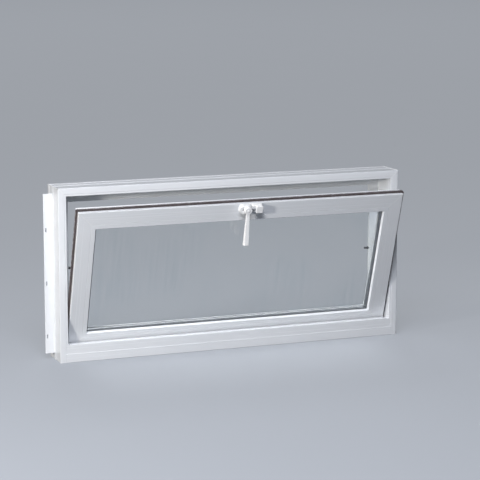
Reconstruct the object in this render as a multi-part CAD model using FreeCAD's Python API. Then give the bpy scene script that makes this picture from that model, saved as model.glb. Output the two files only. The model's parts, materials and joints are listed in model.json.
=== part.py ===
import FreeCAD
import Part
import math
import os

# Hopper window for a basement wall: a vinyl frame with a sash that tilts in at the top.
# Millimetres. X runs along the window, Y from the room to the outside, Z up.
# The origin is the centre of the frame's bottom face.

V = FreeCAD.Vector

# Frame, overall
FRAME_W = 813.0
FRAME_H = 387.0
FRAME_D = 82.5

# Jamb and head section: s runs inward from the outer side, d runs back from the room face
FACE_W = 18.5
BAND_W = 5.2
BAND_STEP = 0.6
WEB_STEP_D = 46.5
WEB_STEP = 1.2
STOP_REACH = 41.5
STOP_T = 13.5
REBATE_W = 7.5
REBATE_D = 7.0
GROOVE_D = 47.0
GROOVE_DEPTH = 6.0

# Shallow channels along the outer side: one behind the front lip, one behind the fin's rib
LIP_T = 2.4
RIB_D = 41.0
RIB_END_D = 54.0
HEEL_D = 70.5
CHANNEL = 0.6

# Sill section
SILL_H = 40.0
SILL_STEP_Z = 19.5
TROUGH_FLOOR = 10.0
TROUGH_FALL = 2.0
WEEP_W = 24.0
WEEP_H = 4.0
WEEP_PITCH = 240.0

# Side fins that slide into grooves in the masonry
FIN_W = 20.5
FIN_T = 2.0
FIN_TOP_GAP = 17.0
FIN_BOTTOM_GAP = 14.0
SLOT_W = 3.2
SLOT_L = 9.5
SLOT_EDGE = 5.0
SLOT_PITCH = 119.0
SLOT_FIRST_Z = 52.0

# Sash: s runs inward from the outer edge, v runs back from the room face
SASH_CLEAR = 5.0
SASH_T = 26.0
SASH_BOTTOM_Z = 22.5
MEMBER_W = 31.0
SIGHT_W = 41.0
BEAD_RUN = 2.0
BEAD_FOOT = 1.2
BEAD_FIT = 0.15
LEG_REACH = 45.5
LEG_EDGE = 1.8
LEG_SLOPE = 6.0
GLASS_EDGE_S = 34.0
GLASS_FRONT_V = 7.0
PANE_T = 3.0
AIR_GAP = 10.0
SPACER_S = 36.0
SPACER_H = 8.5
SEAL_V = 6.0
SEAL_W = 7.0
SEAL_SLOT = 4.0
SEAL_LIP = 1.2
SEAL_CLEAR = 0.4
SEAL_FIT = 0.1
SEAL_MOUTH = 1.0
SEAL_START_Z = 46.0

# Tilt and pivots
TILT_DEG = 18.0
PIVOT_D = 38.0
PIVOT_UP = 10.5
PIN_R = 4.0
PIN_CLEAR = 0.1
PIN_SEAT = 14.0
PIN_RELIEF = 2.0
PIN_END_GAP = 1.5
PIN_CHAMFER = 0.6
BLOCK_W = 15.0
BLOCK_H = 24.0
BLOCK_T = 8.0

# Cam latch on the top rail: x and z run from its pivot, v back from the sash face
LATCH_X = 1.0
LATCH_DROP = 10.5
BASE_T = 3.0
BASE_LEFT = 17.0
BASE_RIGHT = 36.0
BASE_EDGE = 0.3
HOUSING_L = 17.0
HOUSING_T = 15.0
HOUSING_INSET = 1.5
BRIDGE_H = 10.5
BRIDGE_T = 10.0
BRIDGE_CLEAR = 1.5
BRIDGE_LAP = 5.0
CAM_T = 8.0
CAM_R = 10.0
CAM_REACH = 19.5
CAM_GAP = 0.5
CAM_HOLE_R = 2.2
HUB_R = 9.0
HUB_T = 6.5
LEVER_LEN = 84.5
LEVER_TOP_W = 6.5
LEVER_END_W = 8.5
LEVER_TOP_T = 6.0
LEVER_END_T = 13.0
LEVER_END_CUT = 5.0
LEVER_END_R = 0.6
LEVER_OUT = 5.0
LEVER_NECK = 3.0
LEVER_BEND_R = 60.0
SPINDLE_R = 4.0
KEEPER_T = 1.5
POCKET_H = 8.0
POCKET_CLEAR = 2.5

# Pins that hold an insect screen in the outer rebate
SCREEN_PIN_R = 3.2
SCREEN_PIN_OUT = 11.0
SCREEN_PIN_IN = 6.0
SCREEN_PIN_Z = 197.5

# Values that follow from the ones above
X_OUT = FRAME_W / 2
Y0 = -FRAME_D / 2
STOP_D = FRAME_D - STOP_T
SASH_X = X_OUT - FACE_W - SASH_CLEAR
SASH_TOP_Z = FRAME_H - FACE_W - SASH_CLEAR
PIVOT_Z = SASH_BOTTOM_Z + PIVOT_UP
PIVOT_Y = Y0 + PIVOT_D
SASH_D = PIVOT_D - SASH_T / 2
TILT = math.radians(TILT_DEG)
LATCH_Z = SASH_TOP_Z - LATCH_DROP


def arc_corner(prev, here, nxt, r):
    """Tangent points and arc middle of a rounded corner in the section's own plane."""
    ax, ay = prev[0] - here[0], prev[1] - here[1]
    bx, by = nxt[0] - here[0], nxt[1] - here[1]
    la, lb = math.hypot(ax, ay), math.hypot(bx, by)
    ax, ay, bx, by = ax / la, ay / la, bx / lb, by / lb
    half = math.acos(max(-1.0, min(1.0, ax * bx + ay * by))) / 2
    run = r / math.tan(half)
    mx, my = ax + bx, ay + by
    lm = math.hypot(mx, my)
    reach = r / math.sin(half) - r
    start = (here[0] + ax * run, here[1] + ay * run)
    end = (here[0] + bx * run, here[1] + by * run)
    mid = (here[0] + mx / lm * reach, here[1] + my / lm * reach)
    return start, mid, end


def section(points, place):
    """Face from corner points (a, b, radius), laid into space by place(a, b)."""
    n = len(points)
    corners = []
    for i, (a, b, r) in enumerate(points):
        if r > 0:
            corners.append(arc_corner(points[i - 1], (a, b), points[(i + 1) % n], r))
        else:
            corners.append(((a, b), None, (a, b)))
    edges = []
    for i, (start, mid, end) in enumerate(corners):
        if mid is not None:
            edges.append(Part.Arc(place(*start), place(*mid), place(*end)).toShape())
        nxt = corners[(i + 1) % n][0]
        if math.hypot(nxt[0] - end[0], nxt[1] - end[1]) > 1e-6:
            edges.append(Part.makeLine(place(*end), place(*nxt)))
    return Part.Face(Part.Wire(edges))


def bar(points, place, run):
    """Section pushed along a straight run."""
    return section(points, place).extrude(run)


def block(x0, x1, y0, y1, z0, z1):
    """Plain rectangular solid between two corners."""
    return Part.makeBox(x1 - x0, y1 - y0, z1 - z0, V(x0, y0, z0))


def rod(radius, length, start, direction):
    """Round bar."""
    return Part.makeCylinder(radius, length, start, direction)


def wedge(points, y0, y1):
    """Prism with an outline in X and Z, from y0 to y1."""
    wire = Part.makePolygon([V(x, y0, z) for x, z in points + points[:1]])
    return Part.Face(wire).extrude(V(0, y1 - y0, 0))


def ring_members(points, x_half, z_low, z_high, y_front, reach):
    """Four bars of one section, mitred to a rectangle.

    The section's first value runs inward from the rectangle's outer edge and the
    second one runs back from y_front. The reach is more than the section's width.
    """
    over = 1.0
    y_a, y_b = y_front - reach, y_front + reach
    left = bar(points, lambda s, v: V(-x_half + s, y_front + v, z_low), V(0, 0, z_high - z_low))
    top = bar(points, lambda s, v: V(-x_half, y_front + v, z_high - s), V(2 * x_half, 0, 0))
    low = bar(points, lambda s, v: V(-x_half, y_front + v, z_low + s), V(2 * x_half, 0, 0))
    tl = [(-x_half - over, z_high + over), (-x_half + reach, z_high - reach)]
    bl = [(-x_half - over, z_low - over), (-x_half + reach, z_low + reach)]
    left = left.cut(wedge(tl + [(-x_half + reach, z_high + over)], y_a, y_b))
    left = left.cut(wedge(bl + [(-x_half + reach, z_low - over)], y_a, y_b))
    right = left.mirror(V(0, 0, 0), V(1, 0, 0))
    cut_tl = wedge(tl + [(-x_half - over, z_high - reach)], y_a, y_b)
    cut_bl = wedge(bl + [(-x_half - over, z_low + reach)], y_a, y_b)
    top = top.cut(cut_tl).cut(cut_tl.mirror(V(0, 0, 0), V(1, 0, 0)))
    low = low.cut(cut_bl).cut(cut_bl.mirror(V(0, 0, 0), V(1, 0, 0)))
    return {"top": top, "bottom": low, "left": left, "right": right}


def tilted(shape):
    """Turns a sash piece from the closed pose to the open one shown."""
    out = shape.copy()
    out.rotate(V(0, PIVOT_Y, PIVOT_Z), V(1, 0, 0), TILT_DEG)
    return out


def both(name, shape):
    """Right-hand piece and its mirror image on the left."""
    return {"right_" + name: shape, "left_" + name: shape.mirror(V(0, 0, 0), V(1, 0, 0))}


# Frame members: jambs run full height, mitred to the head, and the sill is coped between them
def frame_section():
    """Corner points of the jamb and head section."""
    inner = FACE_W - WEB_STEP
    band = FACE_W - BAND_W
    rear = FRAME_D - REBATE_D
    return [
        (0, 0, 1.5), (band - 0.3, 0, 0), (band, BAND_STEP, 0), (FACE_W, BAND_STEP, 1.2),
        (FACE_W, WEB_STEP_D, 0), (inner, WEB_STEP_D + 0.5, 0), (inner, STOP_D, 0.8),
        (STOP_REACH, STOP_D, 1.5), (STOP_REACH, rear, 0.6), (STOP_REACH - REBATE_W, rear, 0.4),
        (STOP_REACH - REBATE_W, FRAME_D, 0.8), (0, FRAME_D, 1.0),
        (0, HEEL_D, 0), (CHANNEL, HEEL_D - 0.5, 0), (CHANNEL, RIB_END_D + 0.5, 0), (0, RIB_END_D, 0),
        (0, GROOVE_D + FIN_T, 0), (GROOVE_DEPTH, GROOVE_D + FIN_T, 0),
        (GROOVE_DEPTH, GROOVE_D, 0), (0, GROOVE_D, 0),
        (0, RIB_D, 0), (CHANNEL, RIB_D - 0.5, 0), (CHANNEL, LIP_T + 0.5, 0), (0, LIP_T, 0),
    ]


def lip_depth():
    """Depth of the sill's front lip, set by the open sash standing clear of its top edge."""
    half = SASH_T / 2
    along = (SILL_H - PIVOT_Z + half * math.sin(TILT)) / math.cos(TILT)
    face = PIVOT_D - half * math.cos(TILT) - along * math.sin(TILT)
    return face - (SASH_CLEAR + 0.1) / math.cos(TILT)


def sill_section():
    """Corner points of the sill section as depth and height."""
    lip = lip_depth()
    rear = FRAME_D - REBATE_D
    rebate_z = STOP_REACH - REBATE_W
    return [
        (0, 0, 0.8), (0, SILL_STEP_Z - 0.4, 0), (BAND_STEP, SILL_STEP_Z, 0),
        (BAND_STEP, SILL_H, 1.5), (lip, SILL_H, 1.2),
        (lip, TROUGH_FLOOR + TROUGH_FALL, 3.0), (STOP_D, TROUGH_FLOOR, 2.0),
        (STOP_D, STOP_REACH, 1.5), (rear, STOP_REACH, 0.6), (rear, rebate_z, 0.4),
        (FRAME_D, rebate_z - 1.0, 0.8), (FRAME_D, 0, 0),
        (GROOVE_D + FIN_T, 0, 0), (GROOVE_D + FIN_T, GROOVE_DEPTH, 0),
        (GROOVE_D, GROOVE_DEPTH, 0), (GROOVE_D, 0, 0),
    ]


def frame_members():
    """Head, sill and jambs, with the latch pocket, pivot pockets and weep slots."""
    ring = ring_members(frame_section(), X_OUT, -FRAME_H, FRAME_H, Y0, FRAME_D * 2)
    head = ring["top"]
    right_jamb = ring["right"].common(block(0, X_OUT + 1, Y0 - 1, -Y0 + 1, 0, FRAME_H))

    end_x = X_OUT - FACE_W + BAND_W
    sill = bar(sill_section(), lambda d, z: V(-end_x, Y0 + d, z), V(2 * end_x, 0, 0))
    for side in (-1, 1):
        for s, d0, d1 in ((STOP_REACH, STOP_D, FRAME_D - REBATE_D),
                          (STOP_REACH - REBATE_W, FRAME_D - REBATE_D, FRAME_D + 1)):
            xs = sorted((side * (X_OUT - s), side * (X_OUT + 1)))
            sill = sill.cut(block(xs[0], xs[1], Y0 + d0, Y0 + d1, -1, FRAME_H))
    for k in (-1, 0, 1):
        x = k * WEEP_PITCH
        low = TROUGH_FLOOR + 0.5
        slot = block(x - WEEP_W / 2, x + WEEP_W / 2, Y0 + STOP_D - 1, 1 - Y0, low, low + WEEP_H)
        sill = sill.cut(slot)
    right_jamb = right_jamb.cut(sill)

    # Pocket for the pivot block, with a deeper round end for the pin
    x_in = X_OUT - FACE_W
    seat = block(x_in, x_in + BLOCK_T, PIVOT_Y - BLOCK_W / 2, PIVOT_Y + BLOCK_W / 2,
                 PIVOT_Z - BLOCK_H / 2, PIVOT_Z + BLOCK_H / 2)
    relief = rod(PIN_R + 1.0, BLOCK_T + PIN_RELIEF, V(x_in, PIVOT_Y, PIVOT_Z), V(1, 0, 0))
    right_jamb = right_jamb.cut(seat).cut(relief)

    # Hole for the screen pin
    right_jamb = right_jamb.cut(screen_pin())

    head = head.cut(latch_pocket())
    out = {"head": head, "sill": sill}
    out.update(both("jamb", right_jamb))
    bush = seat.cut(rod(PIN_R + PIN_CLEAR, BLOCK_T + 2, V(x_in - 1, PIVOT_Y, PIVOT_Z), V(1, 0, 0)))
    out.update(both("pivot_block", bush))
    return out


def screen_pin():
    """Round pin out of the right stop's inner edge."""
    x_edge = X_OUT - STOP_REACH
    y_mid = Y0 + STOP_D + (STOP_T - REBATE_D) / 2
    radius = min(SCREEN_PIN_R, (STOP_T - REBATE_D) / 2 - 0.05)
    start = V(x_edge + SCREEN_PIN_IN, y_mid, SCREEN_PIN_Z)
    pin = rod(radius, SCREEN_PIN_IN + SCREEN_PIN_OUT, start, V(-1, 0, 0))
    tip = [e for e in pin.Edges if e.Closed and e.CenterOfMass.x < x_edge - SCREEN_PIN_OUT / 2]
    return pin.makeChamfer(PIN_CHAMFER, tip)


def pocket_depths():
    """Front and back depth of the head pocket around the closed latch cam."""
    cam_front = SASH_D - BASE_T - CAM_GAP - CAM_T
    return cam_front - POCKET_CLEAR, cam_front + CAM_T + POCKET_CLEAR


def latch_pocket():
    """Slot in the head's underside that the cam turns up into."""
    front, back = pocket_depths()
    z_low = FRAME_H - FACE_W
    half = CAM_R + POCKET_CLEAR
    reach = math.sqrt(CAM_REACH ** 2 - min(z_low - LATCH_Z, CAM_REACH) ** 2) + POCKET_CLEAR
    return block(LATCH_X - max(half, reach), LATCH_X + half, Y0 + front - KEEPER_T, Y0 + back,
                 z_low - 1, z_low + POCKET_H)


def latch_keeper():
    """Steel plate against the pocket's front wall, which holds the cam."""
    front = pocket_depths()[0]
    cut = latch_pocket().BoundBox
    z_low = FRAME_H - FACE_W
    plate = block(cut.XMin, cut.XMax, Y0 + front - KEEPER_T, Y0 + front, z_low + 0.5, cut.ZMax)
    return plate


def fin():
    """Right-hand slotted fin, seated in the jamb's outer groove."""
    x_root = X_OUT - GROOVE_DEPTH
    x_tip = X_OUT + FIN_W
    z0, z1 = FIN_BOTTOM_GAP, FRAME_H - FIN_TOP_GAP
    strip = block(x_root, x_tip, Y0 + GROOVE_D, Y0 + GROOVE_D + FIN_T, z0, z1)
    x_slot = x_tip - SLOT_EDGE
    for k in range(3):
        z = SLOT_FIRST_Z + k * SLOT_PITCH
        half = SLOT_L / 2 - SLOT_W / 2
        y = Y0 + GROOVE_D - 1
        cut = block(x_slot - SLOT_W / 2, x_slot + SLOT_W / 2, y, y + FIN_T + 2, z - half, z + half)
        for end in (-half, half):
            cut = cut.fuse(rod(SLOT_W / 2, FIN_T + 2, V(x_slot, y, z + end), V(0, 1, 0)))
        strip = strip.cut(cut)
    return strip


# Sash members, all drawn closed and then tilted
def sash_section():
    """Corner points of the sash section, with a T slot for the seal and a glazing rebate."""
    back = GLASS_FRONT_V + 2 * PANE_T + AIR_GAP
    v0, v1 = SEAL_V, SEAL_V + SEAL_W
    mouth = SEAL_MOUTH
    return [
        (0, 0, 1.4), (MEMBER_W, 0, 0.4), (MEMBER_W, back, 0), (LEG_REACH, back, 0),
        (LEG_REACH, back + LEG_EDGE, 0.5), (LEG_REACH - LEG_SLOPE, SASH_T, 0.8), (0, SASH_T, 1.0),
        (0, v1 - mouth, 0), (SEAL_LIP, v1 - mouth, 0), (SEAL_LIP, v1, 0), (SEAL_SLOT, v1, 0),
        (SEAL_SLOT, v0, 0), (SEAL_LIP, v0, 0), (SEAL_LIP, v0 + mouth, 0), (0, v0 + mouth, 0),
    ]


def bead_section():
    """Corner points of the snap-in glazing bead, flush with the face and steep down to the glass."""
    edge = MEMBER_W + BEAD_FIT
    foot = SIGHT_W + BEAD_RUN
    return [
        (edge, 0, 0.4), (SIGHT_W, 0, 1.0), (foot, GLASS_FRONT_V - BEAD_FOOT, 0.4),
        (foot, GLASS_FRONT_V, 0), (edge, GLASS_FRONT_V, 0),
    ]


def pile_section(out):
    """Corner points of the pile seal: backing in the slot, brush out past the edge."""
    v0, v1 = SEAL_V + SEAL_FIT, SEAL_V + SEAL_W - SEAL_FIT
    mouth = SEAL_MOUTH
    back, lip = SEAL_SLOT - SEAL_FIT, SEAL_LIP + SEAL_FIT
    return [
        (back, v0, 0), (lip, v0, 0), (lip, v0 + mouth, 0),
        (-0.3, v0 + mouth, 0), (-1.2, v0 + 0.2, 0), (-out, v0 + 0.6, 0.8),
        (-out, v1 - 0.6, 0.8), (-1.2, v1 - 0.2, 0), (-0.3, v1 - mouth, 0),
        (lip, v1 - mouth, 0), (lip, v1, 0), (back, v1, 0),
    ]


def seals():
    """Pile seals along the top rail and both stiles, mitred at the corners."""
    out = SASH_CLEAR - SEAL_CLEAR
    y = Y0 + SASH_D
    ring = ring_members(pile_section(out), SASH_X, SASH_BOTTOM_Z - 200, SASH_TOP_Z, y, SASH_T)
    upper = block(0, SASH_X + 20, y - 1, y + SASH_T, SEAL_START_Z, SASH_TOP_Z + 20)
    pieces = both("seal", ring["right"].common(upper))
    pieces["top_seal"] = ring["top"]
    return pieces


def panes():
    """Inner and outer glass and the spacer that parts them."""
    y = Y0 + SASH_D + GLASS_FRONT_V
    x = SASH_X - GLASS_EDGE_S
    z0, z1 = SASH_BOTTOM_Z + GLASS_EDGE_S, SASH_TOP_Z - GLASS_EDGE_S
    inner = block(-x, x, y, y + PANE_T, z0, z1)
    outer = inner.translated(V(0, PANE_T + AIR_GAP, 0))
    g = SPACER_S - GLASS_EDGE_S
    ys = y + PANE_T
    ring = block(-x + g, x - g, ys, ys + AIR_GAP, z0 + g, z1 - g)
    h = g + SPACER_H
    ring = ring.cut(block(-x + h, x - h, ys - 1, ys + AIR_GAP + 1, z0 + h, z1 - h))
    return {"inner_pane": inner, "outer_pane": outer, "glass_spacer": ring}


def pivot_pin():
    """Right-hand pivot pin, set into the stile and turning in the jamb's block."""
    start = V(SASH_X - PIN_SEAT, PIVOT_Y, PIVOT_Z)
    reach = PIN_SEAT + SASH_CLEAR + BLOCK_T + PIN_RELIEF - PIN_END_GAP
    pin = rod(PIN_R, reach, start, V(1, 0, 0))
    tip = [e for e in pin.Edges if e.Closed and e.CenterOfMass.x > SASH_X]
    return pin.makeChamfer(PIN_CHAMFER, tip)


# Latch, drawn on the closed sash: pieces in front of its face have negative v
def latch_point(x, v, z):
    """Point given from the latch pivot's foot on the sash face."""
    return V(LATCH_X + x, Y0 + SASH_D + v, LATCH_Z + z)


def plate_outline(outline, v0, v1):
    """Plate with an outline of corner points in X and Z, from depth v0 to v1."""
    face = section(outline, lambda x, z: latch_point(x, v0, z))
    return face.extrude(V(0, v1 - v0, 0))


def front_rim(solid):
    """Edges of a solid's room-side face."""
    front = solid.BoundBox.YMin
    return [e for e in solid.Edges if e.BoundBox.YMax - front < 1e-4]


def spindle_bore(radius, v0, v1):
    """Round bore on the latch pivot between two depths."""
    return rod(radius, v1 - v0, latch_point(0, v0, 0), V(0, 1, 0))


def latch_base():
    """Base plate, round at the pivot end, with a housing and a bridge towards the hub."""
    low, high = -CAM_R, LATCH_DROP - BASE_EDGE
    end_r = (high - low) / 2 - 0.2
    plate = plate_outline([
        (-BASE_LEFT, low, end_r), (BASE_RIGHT, low, 2.0),
        (BASE_RIGHT, high, 2.0), (-BASE_LEFT, high, end_r),
    ], -BASE_T, 0)
    x0, x1 = BASE_RIGHT - HOUSING_L, BASE_RIGHT - 0.4
    z0, z1 = low + HOUSING_INSET, high - HOUSING_INSET
    housing = plate_outline([(x0, z0, 2.5), (x1, z0, 3.0), (x1, z1, 4.0), (x0, z1, 2.5)],
                            -HOUSING_T, -BASE_T / 2)
    x_bridge = CAM_R + BRIDGE_CLEAR
    z_top = high - 0.4
    bridge = plate_outline([
        (x_bridge, z_top - BRIDGE_H, 2.5), (x0 + BRIDGE_LAP, z_top - BRIDGE_H, 0),
        (x0 + BRIDGE_LAP, z_top, 0), (x_bridge, z_top, 2.5),
    ], -BRIDGE_T, -BASE_T / 2)
    housing = housing.makeFillet(1.6, front_rim(housing))
    bridge = bridge.makeChamfer(1.0, front_rim(bridge))
    solid = plate.fuse([housing, bridge]).removeSplitter()
    return solid.cut(spindle_bore(SPINDLE_R + PIN_CLEAR, -BASE_T - 1, 1))


def latch_cam():
    """Round-ended tongue on the spindle, at rest along the rail, turned up to lock."""
    end_r = CAM_R - 0.2
    v0 = -BASE_T - CAM_GAP - CAM_T
    tongue = plate_outline([
        (-CAM_REACH, -CAM_R, end_r), (CAM_R, -CAM_R, end_r),
        (CAM_R, CAM_R, end_r), (-CAM_REACH, CAM_R, end_r),
    ], v0, v0 + CAM_T)
    tongue = tongue.makeChamfer(1.2, front_rim(tongue))
    hole = rod(CAM_HOLE_R, CAM_T + 2, latch_point(CAM_R - CAM_REACH, v0 - 1, 0), V(0, 1, 0))
    return tongue.cut(spindle_bore(SPINDLE_R, v0 - 1, v0 + CAM_T + 1)).cut(hole)


def latch_lever():
    """Lever that thickens to a square end: side wedge and front taper crossed, with hub and spindle."""
    v_hub = -BASE_T - CAM_GAP - CAM_T
    v_front, v_end = v_hub - LEVER_TOP_T, v_hub - LEVER_OUT
    bend = -HUB_R - LEVER_NECK
    end_front = LEVER_END_CUT - LEVER_LEN
    wide = HUB_R * 2
    wedge_side = bar([
        (v_hub, 2.0, 0), (v_hub, bend, LEVER_BEND_R), (v_end, -LEVER_LEN, LEVER_END_R),
        (v_end - LEVER_END_T, end_front, LEVER_END_R), (v_front, bend, LEVER_BEND_R), (v_front, 2.0, 0),
    ], lambda v, z: latch_point(-wide, v, z), V(2 * wide, 0, 0))
    a, b = LEVER_TOP_W / 2, LEVER_END_W / 2
    taper = plate_outline([
        (-a, 1.0, 0), (-a, -HUB_R, 0), (-b, -LEVER_LEN, 0),
        (b, -LEVER_LEN, 0), (a, -HUB_R, 0), (a, 1.0, 0),
    ], v_end - LEVER_END_T - 1, 0)
    hub = rod(HUB_R, HUB_T, latch_point(0, v_hub - HUB_T, 0), V(0, 1, 0))
    hub = hub.makeChamfer(1.4, front_rim(hub))
    spindle = spindle_bore(SPINDLE_R, v_hub, -0.4)
    return hub.fuse([taper.common(wedge_side), spindle]).removeSplitter()


def build():
    """All pieces by name, in the pose shown."""
    nodes = frame_members()
    nodes.update(both("fin", fin()))
    nodes.update(both("screen_pin", screen_pin()))
    nodes["latch_keeper"] = latch_keeper()

    sash = {}
    y = Y0 + SASH_D
    names = {"top": "top_rail", "bottom": "bottom_rail", "left": "left_stile", "right": "right_stile"}
    pin = pivot_pin()
    pins = both("pivot_pin", pin)
    ring = ring_members(sash_section(), SASH_X, SASH_BOTTOM_Z, SASH_TOP_Z, y, SASH_T * 2)
    for key, name in names.items():
        piece = ring[key]
        if key in ("left", "right", "bottom"):
            piece = piece.cut(pins["left_pivot_pin"]).cut(pins["right_pivot_pin"])
        sash[name] = piece
    beads = ring_members(bead_section(), SASH_X, SASH_BOTTOM_Z, SASH_TOP_Z, y, SASH_T * 2)
    for key, piece in beads.items():
        sash[key + "_bead"] = piece
    sash.update(panes())
    sash.update(seals())
    sash.update(pins)
    sash["latch_base"] = latch_base()
    sash["latch_cam"] = latch_cam()
    sash["latch_lever"] = latch_lever()
    for name, piece in sash.items():
        nodes[name] = tilted(piece)
    return nodes


os.makedirs("parts", exist_ok=True)
for name, shape in build().items():
    solids = shape.Solids
    if len(solids) != 1 or not shape.isValid():
        raise ValueError(name + " is not one sound solid")
    solids[0].exportStep("parts/" + name + ".step")
    print(name, round(shape.Volume / 1000.0, 1))
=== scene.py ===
"""Looks of a hopper window: finishes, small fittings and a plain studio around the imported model."""

import json
import logging
import math
import random
from dataclasses import dataclass, field
from enum import Enum

import bmesh
import bpy
from bmesh.types import BMEdge, BMesh, BMFace, BMVert
from bpy.types import ID, Material, Node, NodeSocket, NodeTree, Object
from mathutils import Matrix, Vector


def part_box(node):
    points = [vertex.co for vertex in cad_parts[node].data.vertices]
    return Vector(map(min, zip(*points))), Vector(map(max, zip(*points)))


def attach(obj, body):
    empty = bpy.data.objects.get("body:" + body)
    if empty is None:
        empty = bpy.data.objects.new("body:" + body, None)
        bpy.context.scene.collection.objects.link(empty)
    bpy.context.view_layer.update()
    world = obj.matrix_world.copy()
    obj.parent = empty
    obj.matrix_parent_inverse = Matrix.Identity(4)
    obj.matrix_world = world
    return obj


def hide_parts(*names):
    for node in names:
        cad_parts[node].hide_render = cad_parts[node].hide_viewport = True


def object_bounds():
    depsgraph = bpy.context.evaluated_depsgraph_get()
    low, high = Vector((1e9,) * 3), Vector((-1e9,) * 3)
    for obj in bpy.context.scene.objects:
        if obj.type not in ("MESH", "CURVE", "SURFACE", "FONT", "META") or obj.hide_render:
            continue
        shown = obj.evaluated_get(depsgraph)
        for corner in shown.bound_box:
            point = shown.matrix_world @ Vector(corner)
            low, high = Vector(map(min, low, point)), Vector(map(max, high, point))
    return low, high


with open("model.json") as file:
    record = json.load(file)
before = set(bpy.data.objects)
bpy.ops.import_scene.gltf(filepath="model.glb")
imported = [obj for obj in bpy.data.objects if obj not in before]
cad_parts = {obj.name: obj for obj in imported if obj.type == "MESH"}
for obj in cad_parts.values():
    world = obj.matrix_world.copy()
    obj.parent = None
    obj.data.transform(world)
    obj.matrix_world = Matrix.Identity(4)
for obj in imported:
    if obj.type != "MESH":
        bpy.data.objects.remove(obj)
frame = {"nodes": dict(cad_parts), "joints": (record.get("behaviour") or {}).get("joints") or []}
CAD_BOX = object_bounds()

MM = 0.001
# Points nearer to each other than this are one point
SAME_POINT = 1e-7
LOG = logging.getLogger("hopper_window")
# Two numbers that go together, such as a lowest and a highest value
Pair = tuple[float, float]

UP = Vector((0, 0, 1))
TO_ROOM = Vector((0, -1, 0))
TO_OUTSIDE = Vector((0, 1, 0))

# Numbers of the mix node's sockets for colours, whose names its other sockets share
MIX_SHARE, MIX_LOW, MIX_HIGH, MIX_OUT = 0, 6, 7, 2


class Body(Enum):
    """Moving bodies of the window."""

    FRAME = "frame"
    SASH = "sash"
    LEVER = "lever"


class Slot(Enum):
    """Material slots of the record, passed with each modelled piece but not read."""

    VINYL = "vinyl"
    SPACER = "spacer"
    PILE = "pile"
    STEEL = "steel"
    BLACK_PLASTIC = "black_plastic"
    WHITE_LATCH = "white_latch"


class Run(Enum):
    """Direction in which a vinyl piece came out of its die."""

    ACROSS = "across"
    UPRIGHT = "upright"
    TILTED = "tilted"


class Side(Enum):
    """Left or right half of the window, with its sign along X."""

    LEFT = -1
    RIGHT = 1

    @property
    def label(self) -> str:
        """Word that node names start with."""
        return self.name.lower()


def linear(colour: str) -> tuple[float, float, float, float]:
    """Turns an sRGB hex colour to linear RGBA by the curve of that standard.

    Args:
        colour: Six hex digits after a hash sign.

    Returns:
        Linear red, green and blue, and an alpha of one.
    """
    shares = [int(colour[i:i + 2], 16) / 255 for i in (1, 3, 5)]
    red, green, blue = (s / 12.92 if s <= 0.04045 else ((s + 0.055) / 1.055) ** 2.4 for s in shares)
    return red, green, blue, 1.0


def add_node(tree: NodeTree, kind: str, settings: dict | None = None, inputs: dict | None = None) -> Node:
    """Adds one node with its settings and links.

    Args:
        tree: Node tree that gets the node.
        kind: Type name of the node.
        settings: Options of the node by name.
        inputs: Values for its inputs, or sockets to link from, by name or number.

    Returns:
        The new node.
    """
    node = tree.nodes.new(kind)
    for name, value in (settings or {}).items():
        setattr(node, name, value)
    for key, value in (inputs or {}).items():
        if isinstance(value, NodeSocket):
            tree.links.new(value, node.inputs[key])
        else:
            node.inputs[key].default_value = value
    return node


def by_sight(tree: NodeTree, lit: float, seen: float) -> NodeSocket:
    """Adds a value that differs for light on the window and for what the camera sees.

    Args:
        tree: Node tree that gets the nodes.
        lit: Value for light that falls on other things.
        seen: Value where the camera looks straight or through the glass.

    Returns:
        The socket with the value.
    """
    path = add_node(tree, "ShaderNodeLightPath")
    sight = add_node(tree, "ShaderNodeMath", {"operation": "MAXIMUM"}, {
        0: path.outputs["Is Camera Ray"], 1: path.outputs["Is Transmission Ray"]})
    strength = add_node(tree, "ShaderNodeMapRange", inputs={
        "Value": sight.outputs["Value"], "To Min": lit, "To Max": seen})
    return strength.outputs["Result"]


def find_joint(name: str) -> dict:
    """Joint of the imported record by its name."""
    return next(j for j in frame["joints"] if j["name"] == name)


def show(name: str, data: ID) -> Object:
    """Adds an object to the scene.

    Args:
        name: Name of the object.
        data: Its mesh, light or camera.

    Returns:
        The new object.
    """
    obj = bpy.data.objects.new(name, data)
    bpy.context.scene.collection.objects.link(obj)
    return obj


@dataclass(frozen=True)
class Span:
    """Box along the axes.

    Attributes:
        low: Lowest corner.
        high: Highest corner.
    """

    low: Vector
    high: Vector

    @classmethod
    def around(cls, points: list[Vector]) -> "Span":
        """Smallest box around some points."""
        low, high = (Vector(pick(p[i] for p in points) for i in range(3)) for pick in (min, max))
        return cls(low, high)

    @classmethod
    def of(cls, node: str) -> "Span":
        """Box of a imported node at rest."""
        return cls(*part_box(node))

    @property
    def mid(self) -> Vector:
        """Middle of the box."""
        return (self.low + self.high) / 2


@dataclass(frozen=True)
class Tilt:
    """Turn of the sash from closed, as its pieces are drawn, to the open pose that is shown.

    Attributes:
        pivot: Point on the tilt axis.
        angle: Turn about X in radians.
    """

    pivot: Vector
    angle: float

    @classmethod
    def from_joint(cls, name: str) -> "Tilt":
        """Reads the turn from a joint whose low limit is the closed sash."""
        joint = find_joint(name)
        return cls(Vector(joint["pos_m"]), -math.radians(min(joint["range_deg"])))

    @property
    def matrix(self) -> Matrix:
        """Placement of a piece that was drawn on the closed sash."""
        turn = Matrix.Rotation(self.angle, 4, "X")
        return Matrix.Translation(self.pivot) @ turn @ Matrix.Translation(-self.pivot)

    def closed(self, point: Vector) -> Vector:
        """Place of a shown point on the closed sash."""
        return self.matrix.inverted() @ point

    def closed_span(self, node: str) -> Span:
        """Box of a sash node as it is when the sash is closed."""
        points = [self.closed(v.co) for v in frame["nodes"][node].data.vertices]
        return Span.around(points)


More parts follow.
